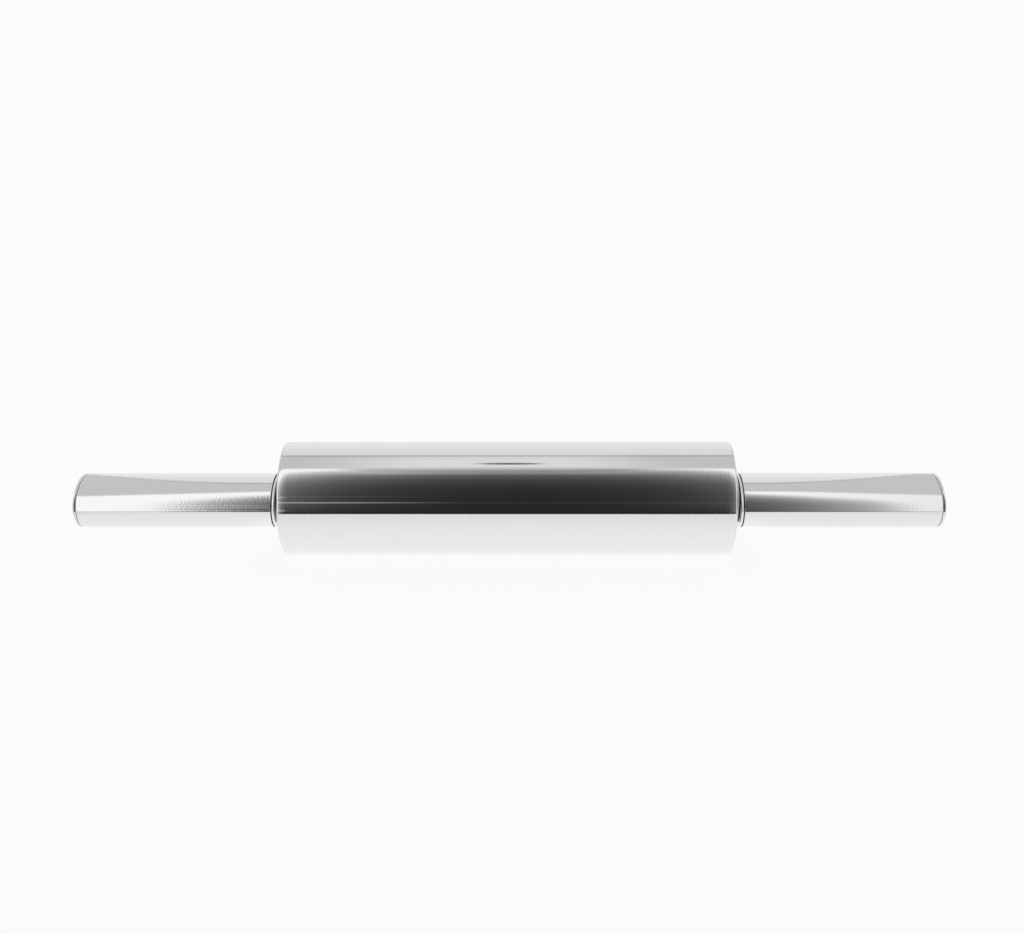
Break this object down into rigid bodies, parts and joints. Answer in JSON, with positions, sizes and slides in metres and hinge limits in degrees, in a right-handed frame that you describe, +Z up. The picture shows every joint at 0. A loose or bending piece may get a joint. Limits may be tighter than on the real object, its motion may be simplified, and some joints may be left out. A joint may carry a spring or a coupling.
{
  "type": "rolling pin",
  "caption": "Stainless steel rolling pin: a hollow barrel that turns freely on ball bearings about a through axle, between two fixed hollow oval grips with flat capped ends.",
  "frame": {"origin": "on the table under the middle of the barrel, where the barrel touches it", "axes": "+X along the pin to the right in the picture, +Y away from the camera, +Z up"},
  "size_m": [0.4766, 0.0636, 0.0635],
  "materials": {
    "barrel_steel": "finely polished stainless steel with a faint grain round the barrel",
    "handle_steel": "polished stainless steel with a faint grain along the grip",
    "machined_steel": "turned steel with fine tool marks",
    "bearing_steel": "ground and polished bearing steel",
    "spring_steel": "dark blued spring steel",
    "cage_brass": "satin pressed brass",
    "natural_nylon": "matt off-white nylon"
  },
  "bodies": {
    "handles": {"axle": "machined_steel", "axle_spacer_tube": "machined_steel", "left_bearing_inner_ring": "bearing_steel", "left_neck_sleeve": "machined_steel", "left_dust_ring": "natural_nylon", "left_handle_inner_cap": "handle_steel", "left_flat_washer": "machined_steel", "left_lock_washer": "spring_steel", "left_hex_nut": "machined_steel", "left_handle_tube": "handle_steel", "left_handle_end_cap": "handle_steel", "right_bearing_inner_ring": "bearing_steel", "right_neck_sleeve": "machined_steel", "right_dust_ring": "natural_nylon", "right_handle_inner_cap": "handle_steel", "right_flat_washer": "machined_steel", "right_lock_washer": "spring_steel", "right_hex_nut": "machined_steel", "right_handle_tube": "handle_steel", "right_handle_end_cap": "handle_steel"},
    "barrel": {"barrel_tube": "barrel_steel", "left_barrel_cap": "barrel_steel", "left_bearing_housing": "machined_steel", "left_circlip": "spring_steel", "left_bearing_outer_ring": "bearing_steel", "right_barrel_cap": "barrel_steel", "right_bearing_housing": "machined_steel", "right_circlip": "spring_steel", "right_bearing_outer_ring": "bearing_steel"},
    "left_cage": {"left_bearing_cage": "cage_brass", "left_bearing_ball_1": "bearing_steel", "left_bearing_ball_2": "bearing_steel", "left_bearing_ball_3": "bearing_steel", "left_bearing_ball_4": "bearing_steel", "left_bearing_ball_5": "bearing_steel", "left_bearing_ball_6": "bearing_steel", "left_bearing_ball_7": "bearing_steel"},
    "right_cage": {"right_bearing_cage": "cage_brass", "right_bearing_ball_1": "bearing_steel", "right_bearing_ball_2": "bearing_steel", "right_bearing_ball_3": "bearing_steel", "right_bearing_ball_4": "bearing_steel", "right_bearing_ball_5": "bearing_steel", "right_bearing_ball_6": "bearing_steel", "right_bearing_ball_7": "bearing_steel"}
  },
  "joints": [
    {"name": "barrel_spin", "type": "hinge", "parent": "handles", "child": "barrel", "pos_m": [0, 0, 0.03175], "axis": [1, 0, 0], "continuous": true},
    {"name": "left_cage_spin", "type": "hinge", "parent": "handles", "child": "left_cage", "pos_m": [-0.1159, 0, 0.03175], "axis": [1, 0, 0], "continuous": true},
    {"name": "right_cage_spin", "type": "hinge", "parent": "handles", "child": "right_cage", "pos_m": [0.1159, 0, 0.03175], "axis": [1, 0, 0], "continuous": true}
  ],
  "couplings": [
    {"joint": "left_cage_spin", "follows": "barrel_spin", "ratio": 0.6313},
    {"joint": "right_cage_spin", "follows": "barrel_spin", "ratio": 0.6313}
  ]
}
